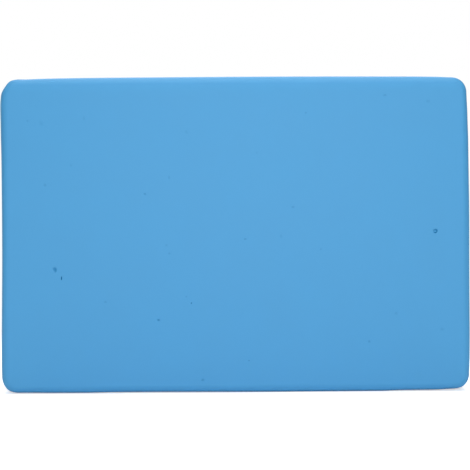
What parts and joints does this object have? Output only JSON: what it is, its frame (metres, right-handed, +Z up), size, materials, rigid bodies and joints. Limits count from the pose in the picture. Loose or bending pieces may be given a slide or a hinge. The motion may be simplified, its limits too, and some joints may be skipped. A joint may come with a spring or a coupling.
{
  "type": "foam block",
  "caption": "Free-standing slab of smooth closed-cell foam with softly rounded edges and corners, used as a prop or support.",
  "frame": {"origin": "middle of the footprint, on the surface that the block stands on", "axes": "+X along the block's length, +Y from the front face to the back face, +Z up"},
  "size_m": [0.2284, 0.076, 0.154],
  "materials": {
    "foam": "matte"
  },
  "bodies": {
    "root": {"foam_block": "foam"}
  },
  "joints": []
}
